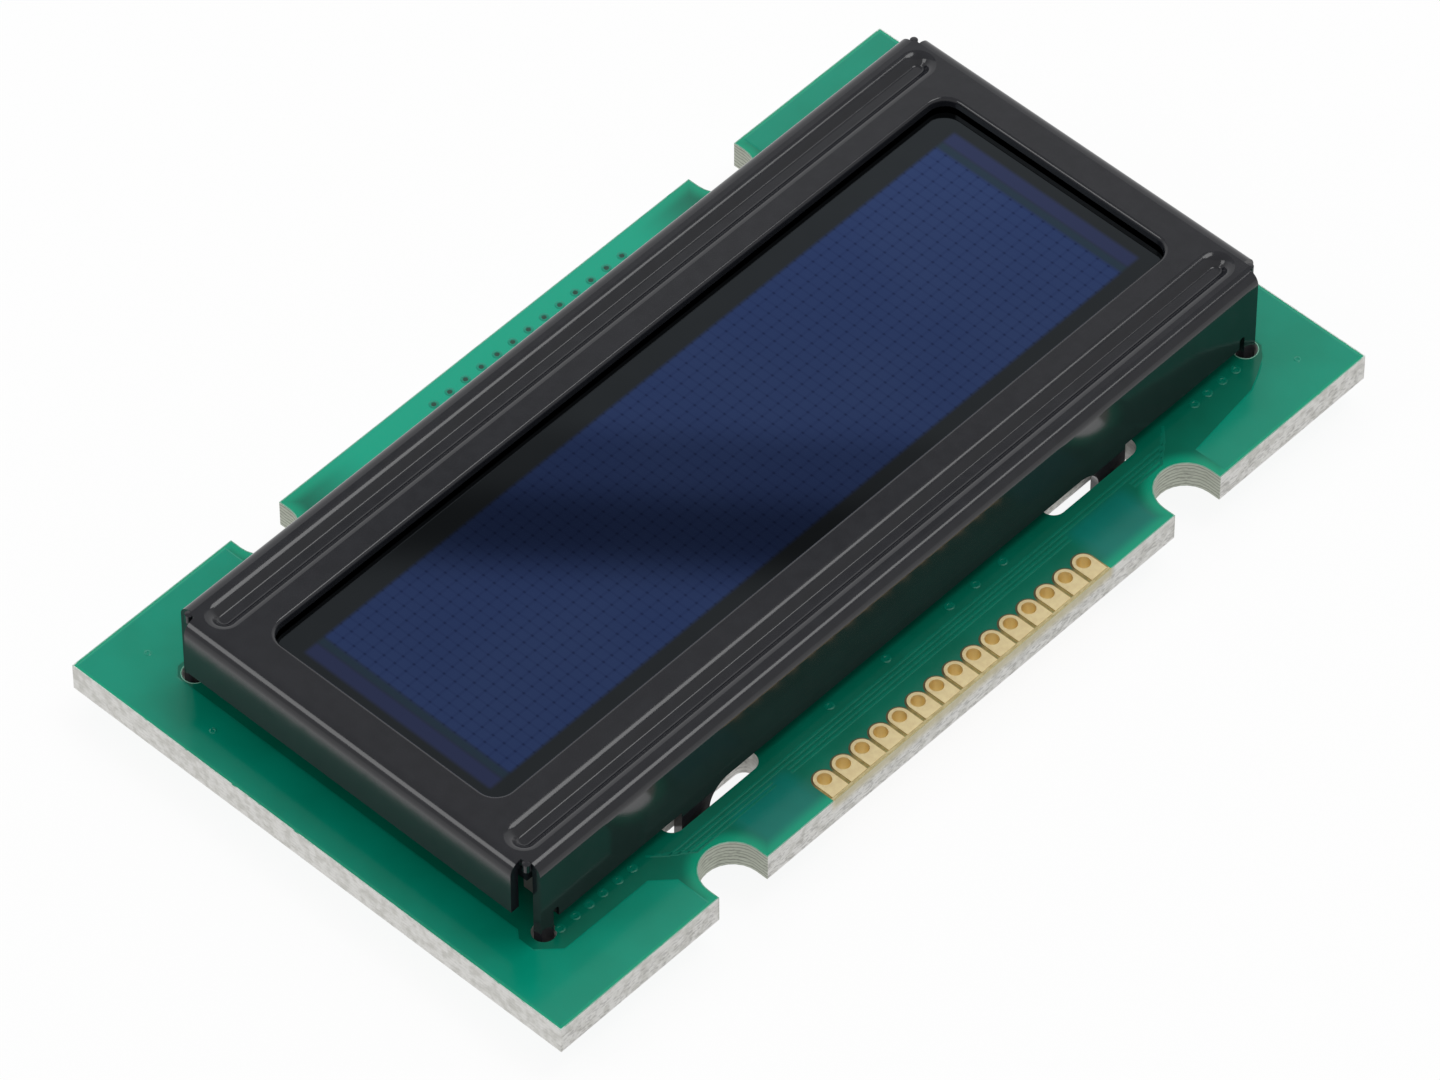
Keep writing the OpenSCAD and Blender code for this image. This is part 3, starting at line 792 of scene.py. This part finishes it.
# Partly painted highlight: the pale colour is chipped mask in patches and a painted highlight, strongest
# at the short ends, held back along the long sides and weaker round the legs' holes.
pale_chips_and_highlight = chips_and_highlight.rise(*pale_ramp) * (1 - long_side_share * within(x, long_side_x))
round_hole = within(y, hole_zone_y) * within(x, hole_zone_x)
along_pads = within(x, pad_zone_x) * (y < pad_zone_y)
chipped_and_highlit = lip.mix(pale_chips_and_highlight.most(round_hole * hole_share), mask_rim, tint(216, 228, 220))
lip.feed(base_color=lip.mix(along_pads, chipped_and_highlit, tint(196, 182, 136)))
lip.relief(chips_and_highlight, depth=0.01)
print("lip: pale at the short ends, worn along the sides and tan at the pads")

# %% Pale lips
# Each profile pairs a distance from the cut with a share of the lip's height. The legs'
# holes lie where the model has them.
lip_width = 0.055
lip_height = 0.022
lip_start = 0.004
edge_profile = ((lip_start, 0), (0.3 * lip_width, 1), (0.7 * lip_width, 1), (lip_width, 0))
hole_profile = ((0.06, 0), (0.045, 1), (0.02, 1), (lip_start, 0))
leg_x, leg_y, leg_hole_radius = 24.05, 11.15, 0.6


def board_outline(steps=14):
    """The board's outline, anticlockwise, with its four notches."""
    front = [(-half_length, -half_width)]
    for middle in (-notch_x, notch_x):
        front.append((middle - notch_radius, -half_width))
        for step in range(steps + 1):
            angle = math.pi * (1 - step / steps)
            across, along = notch_radius * math.cos(angle), notch_radius * math.sin(angle)
            front.append((middle + across, along - notch_y))
        front.append((middle + notch_radius, -half_width))
    front.append((half_length, -half_width))
    return front + [(-x, -y) for x, y in front]


edge = board_outline()
lips = Heap()
for base, height in ((board_top, lip_height), (board_bottom, -lip_height)):
    loft(lips, [
        lifted(inset(edge, distance), base + share * height) for distance, share in edge_profile
    ], height > 0)
    ring = [(leg_hole_radius + distance, base + share * height) for distance, share in hole_profile]
    # The first corner's hole gets no lip.
    for x, y in quarter_turns[1:]:
        turned_ring(lips, (x * leg_x, y * leg_y), ring, capped=False, segments=32)
lips.piece("pale_lips", lip, smooth=True)

# %% [markdown]
# ## Gold edge pads
# The pads are copper with a thin gold coat, laid on by dipping, so they are satin and
# warm and not mirror bright. A fine cloud in the roughness breaks up the reflection. In
# the plated holes the light goes from wall to wall and deepens with each bounce.

# %% Gold
hole_depth, hole_rim = 0.3, 0.03

gold = Finish("dipped_gold", metallic=0.7)
cloud = gold.noise(scale=3.0, detail=4.0)
grain = gold.noise(scale=22.0)
x, y, z = gold.spot()
# Painted light: inside the plated holes the gold is painted a little brighter and warmer, for the light
# that bounces from wall to wall.
deep = 1 - z.rise(board_top - hole_depth, board_top + hole_rim)
deep = deep * z.rise(board_bottom - hole_rim, board_bottom + hole_depth)
satin = gold.mix(cloud.spread(), tint(248, 230, 180), tint(239, 218, 168))
gold.feed(
    base_color=gold.mix(deep, satin, tint(250, 231, 174)),
    roughness=grain.between(0.44, 0.56),
)
gold.relief(grain, depth=0.003)
gold.paint("edge_pads", "front_contacts", "back_contacts")

# %% [markdown]
# ## Bare laminate round the pads
# The mask stops short of the pads and leaves a thin brown moat of bare laminate round
# each of them, and a tan strip along the edge. The moats are thin bands that reach a
# little under the gold, and leave the plated holes open.

# %% Measure the pads
def islands(node):
    """The boxes of a node's separate solids, in millimetres, found by shared corners."""
    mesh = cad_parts[node].data
    keys = [tuple(round(c / MM, 3) for c in vertex.co) for vertex in mesh.vertices]
    leader = {key: key for key in keys}

    def find(key):
        while leader[key] != key:
            leader[key] = leader[leader[key]]
            key = leader[key]
        return key

    for polygon in mesh.polygons:
        first = find(keys[polygon.vertices[0]])
        for corner in polygon.vertices[1:]:
            leader[find(keys[corner])] = first
    groups = {}
    for key in leader:
        groups.setdefault(find(key), []).append(key)
    boxes = []
    for members in groups.values():
        columns = list(zip(*members))
        boxes.append((Vector([min(c) for c in columns]), Vector([max(c) for c in columns])))
    return sorted(boxes, key=lambda box: (round(box[0].x, 2), round(box[0].y, 2)))


pads = islands("edge_pads")
pad_radius = (pads[0][1].x - pads[0][0].x) / 2
pad_line = pads[0][1].y - pad_radius
pad_end = pads[0][0].y
print(f"{len(pads)} pads, {2 * pad_radius:.2f} mm wide, holes at y = {pad_line:.2f} mm")

# %% Finishes of bare laminate
inland_ramp = (pad_line - 0.2, pad_line + 0.3)

tan = Finish("bare_laminate", roughness=0.55)
weave = tan.noise(scale=3.0, detail=3.0, stretch=(1, 3, 1))
tan.feed(base_color=tan.mix(weave.spread(0.35), tint(176, 160, 112), tint(198, 184, 138)))
tan.relief(weave, depth=0.01)

umber = Finish("moat_laminate", roughness=0.5)
weave = umber.noise(scale=4.0, detail=3.0)
x, y, z = umber.spot()
gap_colour = umber.mix(weave.spread(0.35), tint(138, 118, 62), tint(160, 138, 78))
umber.feed(base_color=umber.mix(y.rise(*inland_ramp), gap_colour, tint(84, 72, 40)))
umber.relief(weave, depth=0.01)
print("tan for the strip, umber for the moats")

# %% Moats and the tan strip
moat_width = 0.10
moat_height = 0.012
moat_slope = 0.01
moat_tuck = 0.05
strip_reach = 0.02
strip_height = 1.5 * moat_height
bend_steps = 16


def pad_outline(centre_x, grow):
    """A pad's outline grown on all sides: square at the edge, round at the inner end."""
    radius = pad_radius + grow
    angles = [math.pi * step / bend_steps for step in range(bend_steps + 1)]
    bend = [(centre_x + radius * math.cos(a), pad_line + radius * math.sin(a)) for a in angles]
    return bend + [(centre_x - radius, pad_end - grow), (centre_x + radius, pad_end - grow)]


moats = Heap()
tan_strip = Heap()
strip_low_x, strip_high_x = pads[0][0].x - moat_width, pads[-1][1].x + moat_width
strip_low_y, strip_high_y = -half_width + lip_width, pad_end + strip_reach
strip_outline = [
    (strip_low_x, strip_low_y), (strip_high_x, strip_low_y),
    (strip_high_x, strip_high_y), (strip_low_x, strip_high_y),
]
for base, side in ((board_top, 1), (board_bottom, -1)):
    plateau(tan_strip, strip_outline, base, side * strip_height, moat_slope)
    for low, high in pads:
        middle_x = (low.x + high.x) / 2
        crest = base + side * moat_height
        loft(moats, [
            lifted(pad_outline(middle_x, moat_width), base),
            lifted(pad_outline(middle_x, moat_width - moat_slope), crest),
            lifted(pad_outline(middle_x, -moat_tuck), crest),
        ], side > 0)
moats.piece("pad_moats", umber)
tan_strip.piece("tan_strip", tan)

# %% [markdown]
# ## Black paint on the bezel
# The bezel is sheet steel, stamped, folded and sprayed with a black paint of middling
# gloss. Sprayed paint has a faint orange peel and gathers a little dust, so the colour
# and the gloss vary softly, while the folds and beads themselves are the model's shape.

# %% Black paint
dust_ramp, dust_share = (0.74, 0.82), 0.2

black = Finish("black_paint", ior=1.5)
peel = black.noise(scale=1.3, detail=3.0)
dust = black.noise(scale=9.0)
sprayed = black.mix(peel.spread(), tint(26, 27, 32), tint(30, 31, 36))
black.feed(
    base_color=black.mix(dust.rise(*dust_ramp) * dust_share, sprayed, tint(84, 84, 86)),
    roughness=peel.between(0.10, 0.14),
)
black.relief(peel, depth=0.0015)
black.paint("bezel")

# %% [markdown]
# ## The display behind its film
# An unlit display of this kind is a dark blue mirror: the light passes the film, meets
# the metal dots behind it and comes back blue. So the finish is metallic with a deep
# blue colour, parted by fine darker lines into rows and columns. Outside the dots a
# narrow dummy strip and a grey border follow. The glass sits a little off the window's
# middle, as glued parts do.

# %% Dots
dot_pitch_x, dot_pitch_y = 0.546, 0.692
dots_half_x, dots_half_y = 20.8, 5.88
dummy_low, dummy_high = 21.27, 22.06
panel_off_x, panel_off_y = -0.15, -0.24
soft = 0.15
line_ramp = (0.32, 0.48)
line_share, crossing_share = 0.22, 0.5

film = Finish("display_film", metallic=1.0)
x, y, z = film.spot()
x = x - panel_off_x
y = y - panel_off_y


def gap_line(value, pitch, half):
    """1 on the fine line between two rows of dots, 0 on the dots."""
    spot = abs(((value + half) / pitch).fraction() - 0.5)
    return spot.rise(*line_ramp)


rows_here = 1 - abs(y).rise(dots_half_y - soft, dots_half_y + soft)
dots = (1 - abs(x).rise(dots_half_x - soft, dots_half_x + soft)) * rows_here
dummy = abs(x).band(dummy_low, dummy_high, soft) * rows_here
gap = abs(x).band(dots_half_x, dummy_low, soft) * rows_here
columns = gap_line(x, dot_pitch_x, dots_half_x)
rows = gap_line(y, dot_pitch_y, dots_half_y)
drift = film.noise(scale=0.12)
blue = film.mix(drift.spread(0.35), tint(58, 76, 123), tint(61, 79, 125))
blue = film.mix(columns.most(rows) * line_share, blue, tint(45, 57, 102))
blue = film.mix(columns * rows * crossing_share, blue, tint(26, 32, 66))
border = film.mix(film.noise(scale=0.5), tint(54, 58, 61), tint(58, 62, 65))
border = film.mix(gap, border, tint(57, 73, 88))
border = film.mix(dummy, border, tint(63, 71, 105))
film.feed(
    base_color=film.mix(dots, border, blue),
    roughness=drift.between(0.03, 0.04),
)
film.paint("polarizer")

# %% [markdown]
# ## A dark flag over the display
# Photographers hang a dark strip, a flag, over a shiny object to give its reflection
# some shape. Here it is a strip of veil in two thicknesses with soft edges, and the
# display mirrors it as a dark band. It is hung high, so that the rougher paint of the
# bezel blurs it away. It shows in reflections alone, so it throws no shadow, and it
# isn't part of the module. The widths are given as they appear on the film.

# %% Hang the flag
flag_height = 200
flag_on_film = Vector((-6.0, 0.4, film_top))
band_along = Vector((0.64, -0.768, 0)).normalized()
band_across = Vector((-band_along.y, band_along.x, 0))
flag_half_length, flag_half_width = 60, 12
mirror_way = Vector((-toward_camera.x, -toward_camera.y, toward_camera.z))
flag_path = flag_height / mirror_way.z
flag_spread = 1 + flag_path / view_distance
flag_centre = flag_on_film + mirror_way * flag_path

flag_reach = band_along * (flag_half_length * flag_spread)
flag_side = band_across * (flag_half_width * flag_spread)
flag_corners = [(flag_centre + flag_reach * a + flag_side * b) * MM for a, b in quarter_turns]
flag, veil = studio_sheet("dark_flag", [tuple(corner) for corner in flag_corners])
flag.visible_camera = False
flag.visible_diffuse = False
flag.visible_transmission = False
flag.visible_shadow = False
print(f"flag at {[round(v) for v in flag_centre]} mm")

# %% The flag's veil
thick_cover, thin_cover = 0.70, 0.34
thick_ramp, step_ramp, thin_ramp = (-4.4, -1.3), (0.4, 3.0), (4.6, 6.6)
veil_black = (0.005, 0.005, 0.006, 1)

x, y, z = veil.spot()
across = ((x - flag_centre.x) * band_across.x + (y - flag_centre.y) * band_across.y) / flag_spread
cover = thick_cover * across.rise(*thick_ramp)
cover = cover - (thick_cover - thin_cover) * across.rise(*step_ramp)
cover = cover - thin_cover * across.rise(*thin_ramp)
clear = veil.node("ShaderNodeBsdfTransparent")
cloth_black = veil.node("ShaderNodeBsdfDiffuse", None, {"Color": veil_black})
veiled = veil.node("ShaderNodeMixShader", None, {0: cover, 1: clear, 2: cloth_black})
veil.node("ShaderNodeOutputMaterial", None, {"Surface": veiled})
print(f"veil covers {thick_cover:.0%}, then {thin_cover:.0%}")

# %% [markdown]
# ## Behind the film
# Under the film lie the front glass, a resin line, a lid with a drying sheet, a foam
# cushion and two contact strips. Little of them is seen, yet each one gets its own
# finish, because the part may be taken apart or shown open.

# %% Glass and seal
glass = Finish("display_glass", roughness=0.08, ior=1.5)
smear = glass.noise(scale=0.3)
# Painted shade: the glass is painted a dark grey, so that its edges look dark in the gap under the bezel.
glass.feed(base_color=glass.mix(smear.spread(0.35), tint(30, 36, 40), tint(38, 44, 48)))
glass.paint("front_glass", "rear_cap")


def grainy(name, nodes, scale, dark, light, roughness, depth, margin=0.3):
    """A matt finish whose colour and surface share one fine grain."""
    finish = Finish(name, roughness=roughness)
    grain = finish.noise(scale, detail=3.0)
    finish.feed(base_color=finish.mix(grain.spread(margin), dark, light))
    finish.relief(grain, depth)
    finish.paint(*nodes)


grainy(
    "seal_resin", ["seal_ring"], scale=2.0, dark=tint(112, 106, 88), light=tint(130, 124, 104),
    roughness=0.4, depth=0.02, margin=0.35,
)

# %% Drying sheet and foam
grainy(
    "drying_sheet", ["desiccant_sheet"], scale=8.0, dark=tint(222, 220, 212), light=tint(236, 234, 228),
    roughness=0.9, depth=0.02, margin=0.35,
)

foam = Finish("black_foam", roughness=0.95)
cells = foam.node(
    "ShaderNodeTexVoronoi", None, {"Vector": foam.place(), "Scale": 4.0}, output="Distance"
)
foam.feed(base_color=foam.mix(cells.rise(0.0, 0.5), tint(20, 20, 21), tint(52, 52, 54)))
foam.relief(cells, depth=0.1)
foam.paint("foam_pad")

# %% Contact strips
layer_pitch = 0.10
dark_layer_ramp = (0.18, 0.30)
rubber = Finish("layered_rubber", roughness=0.6)
x, y, z = rubber.spot()
layer = abs((x / layer_pitch).fraction() - 0.5).rise(*dark_layer_ramp)
outside = abs(rubber.parts(rubber.facing())[1]).rise(*upright_ramp)
# Partly painted shade: the strips are painted dark grey, their own silicone tone made darker so that the
# gap under the bezel looks dark.
core = rubber.mix(layer, tint(26, 26, 28), tint(96, 96, 92))
rubber.feed(base_color=rubber.mix(outside, core, tint(46, 46, 50)))
rubber.relief(rubber.noise(scale=5.0), depth=0.01)
rubber.paint("front_strip", "back_strip")

# %% [markdown]
# ## Parts on the back
# The back carries the driver chip under a drop of black resin, and the chips of the
# supply: brown capacitors, black-coated resistors, a ferrite coil, a moulded converter
# and a diode. Their finishes differ in grain and gloss more than in colour.

# %% Resin, ceramics and ferrite
resin = Finish("black_resin", ior=1.5)
ripple = resin.noise(scale=0.6)
speck = resin.noise(scale=7.0)
resin.feed(
    base_color=resin.mix(ripple.spread(), tint(22, 22, 23), tint(32, 31, 31)),
    roughness=speck.between(0.30, 0.48),
)
resin.relief(ripple * 0.8 + speck * 0.2, depth=0.03)
resin.paint("glob_top", "resistor_coats")

grainy(
    "capacitor_ceramic", ["capacitor_bodies"], scale=9.0, dark=tint(158, 118, 82),
    light=tint(178, 138, 98), roughness=0.42, depth=0.006,
)
grainy(
    "white_ceramic", ["resistor_bodies"], scale=10.0, dark=tint(222, 220, 212),
    light=tint(238, 236, 230), roughness=0.50, depth=0.006,
)
grainy(
    "ferrite", ["inductor_core"], scale=6.0, dark=tint(52, 52, 54),
    light=tint(74, 73, 74), roughness=0.62, depth=0.02,
)
grainy(
    "chip_moulding", ["converter_body", "diode_body"], scale=14.0, dark=tint(30, 30, 31),
    light=tint(43, 43, 44), roughness=0.55, depth=0.012,
)

# %% Silicon and tin
silicon = Finish("silicon", metallic=0.6)
polish = silicon.noise(scale=12.0, detail=2.0, stretch=(1, 6, 1))
silicon.feed(
    base_color=silicon.mix(polish.spread(), tint(92, 92, 100), tint(112, 112, 122)),
    roughness=polish.between(0.25, 0.45),
)
silicon.paint("driver_die")

tin = Finish("tin", metallic=0.9)
frost = tin.noise(scale=5.0, detail=4.0)
tin.feed(
    base_color=tin.mix(frost.spread(), tint(188, 189, 192), tint(214, 214, 216)),
    roughness=frost.between(0.30, 0.52),
)
tin.relief(frost, depth=0.012)
tin.paint(
    "capacitor_ends", "resistor_ends", "inductor_ends", "converter_leads", "diode_leads", "solder_lands"
)

# %% [markdown]
# ## Solder fillets
# Melted solder climbs the metal ends of a chip and sets in a hollow curve. Each fillet
# here is a short sweep of that curve, from the land's rim up the end face. The chips'
# own boxes say where the faces are, so the fillets follow the model.

# %% The shape of a fillet
def solder_fillet(heap, foot, outward, width, reach, climb, steps=6):
    """A hollow wedge below the board, between a land and an upright face that looks outward."""
    foot, outward = Vector(foot), Vector(outward)
    sideways = Vector((-outward.y, outward.x, 0)) * (width / 2)
    rows = []
    for step in range(steps + 1):
        angle = math.pi / 2 * step / steps
        away = outward * (reach * (1 - math.sin(angle)))
        drop = Vector((0, 0, -climb * (1 - math.cos(angle))))
        rows.append((foot + away + drop - sideways, foot + away + drop + sideways))
    points = [tuple(point) for row in rows for point in row]
    points += [tuple(foot - sideways), tuple(foot + sideways)]
    faces = [(2 * i, 2 * i + 1, 2 * i + 3, 2 * i + 2) for i in range(steps)]
    last = 2 * (steps + 1)
    faces.append(tuple([last] + [2 * i for i in range(steps + 1)]))
    faces.append(tuple([last + 1] + [2 * i + 1 for i in range(steps, -1, -1)]))
    heap.add(points, faces)


land_face = min(low.z for low, high in islands("solder_lands"))
print(f"fillets stand on the lands at {land_face:.3f} mm")

# %% Fillets at the ends of chips and leads
fillet_reach = 0.11
chip_climb, lead_climb = 0.55, 0.12
fillets = Heap()
for bodies, ends in (("capacitor_bodies", "capacitor_ends"), ("resistor_bodies", "resistor_ends")):
    band_length = islands(ends)[0][1].x - islands(ends)[0][0].x
    for low, high in islands(bodies):
        middle = (low + high) / 2
        for side in (-1, 1):
            face_x = middle.x + side * ((high.x - low.x) / 2 + band_length)
            climb = chip_climb * (high.z - low.z)
            solder_fillet(
                fillets, (face_x, middle.y, land_face), (side, 0, 0), high.y - low.y, fillet_reach, climb
            )
for body, leads in (("converter_body", "converter_leads"), ("diode_body", "diode_leads")):
    body_low, body_high = box_mm(body)
    for low, high in islands(leads):
        middle = (low + high) / 2
        along_x = middle.x < body_low.x or middle.x > body_high.x
        body_middle = (body_low + body_high) / 2
        axis = Vector((1, 0, 0)) if along_x else Vector((0, 1, 0))
        side = 1 if (middle - body_middle).dot(axis) > 0 else -1
        size = high - low
        foot = middle + axis * (side * size.dot(axis) / 2)
        width = size.y if along_x else size.x
        foot.z = land_face
        solder_fillet(fillets, foot, axis * side, width, fillet_reach, lead_climb)
fillets.piece("solder_fillets", tin, smooth=True)

# %% [markdown]
# ## Copper on the back
# From the resin drop, fine traces fan out to two rows of vias that feed the contact
# strips on the other side. The pads have a short trace each, and each end of a capacitor
# and of a resistor is joined to a via. Broad pours fill both ends of the board, clear of the legs' holes.

# %% Pours on the back
slot_y, clear_x, clear_y = 12.7, 25.1, 9.8
slot_cut, leg_cut = 0.8, 0.5


def back_pour(side, inner_x):
    """An end pour that keeps clear of the legs' holes, the slots and the notches."""
    half = [
        (pour_x, 0), (pour_x, pour_y), (pour_end, pour_y), (pour_end, slot_y),
        (clear_x - slot_cut, slot_y), (clear_x, slot_y - slot_cut),
        (clear_x, clear_y + leg_cut), (clear_x - leg_cut, clear_y), (inner_x, clear_y), (inner_x, 0),
    ]
    pale_chips_and_highlight = half + [(x, -y) for x, y in half[-2:0:-1]]
    return [(side * x, y) for x, y in pale_chips_and_highlight]


back_pours = Heap()
for side, inner_x in ((-1, 19.3), (1, 20.6)):
    plateau(back_pours, back_pour(side, inner_x), board_bottom, -mask_step)
back_pours.piece("back_pours", copper_mask)

# %% Traces that fan out from the resin
fan_count = 18
fan_pitch = 0.8
fan_turn = 7.0
fan_end, fan_stagger = 9.4, 0.35
fan_half_angle = math.radians(62)
fan_width = 0.14
resin_tuck = 0.2
back_traces = Heap()
back_vias = []
resin_low, resin_high = box_mm("glob_top")
resin_middle = (resin_low + resin_high) / 2
fan_radius = (resin_high.x - resin_low.x) / 2 - resin_tuck
for side in (-1, 1):
    for index in range(fan_count):
        share = 2 * index / (fan_count - 1) - 1
        angle = fan_half_angle * share
        start = (
            resin_middle.x + fan_radius * math.sin(angle),
            resin_middle.y + side * fan_radius * math.cos(angle),
        )
        end_x = resin_middle.x + (index - (fan_count - 1) / 2) * fan_pitch
        end_y = side * (fan_end + fan_stagger * (index % 2))
        path = [start, (end_x, side * fan_turn), (end_x, end_y)]
        trace(back_traces, path, fan_width, board_bottom, -mask_step)
        back_vias.append((end_x, end_y))
print(f"{len(back_vias)} traces fan out")

# %% Traces of pads and chips, and the vias on the back
pad_trace_width, chip_trace_width = 0.2, 0.25
pad_via_y, pad_via_stagger = -12.3, 0.4
chip_via_reach = 1.15
back_rim_step = mask_step + 0.006
for low, high in pads:
    x = (low.x + high.x) / 2
    end_y = pad_via_y - pad_via_stagger * (round(x / (2 * pad_radius)) % 2)
    trace(back_traces, [(x, high.y), (x, end_y)], pad_trace_width, board_bottom, -mask_step)
    back_vias.append((x, end_y))
for node in ("capacitor_ends", "resistor_ends"):
    for low, high in islands(node):
        middle = (low + high) / 2
        end = (middle.x, middle.y + chip_via_reach)
        trace(back_traces, [(middle.x, high.y), end], chip_trace_width, board_bottom, -mask_step)
        back_vias.append(end)
back_traces.piece("back_traces", copper_mask)

back_via_rims = Heap()
for centre in back_vias:
    via_rim(back_via_rims, centre, board_bottom, -back_rim_step)
back_via_rims.piece("back_via_rims", copper_mask, smooth=True)
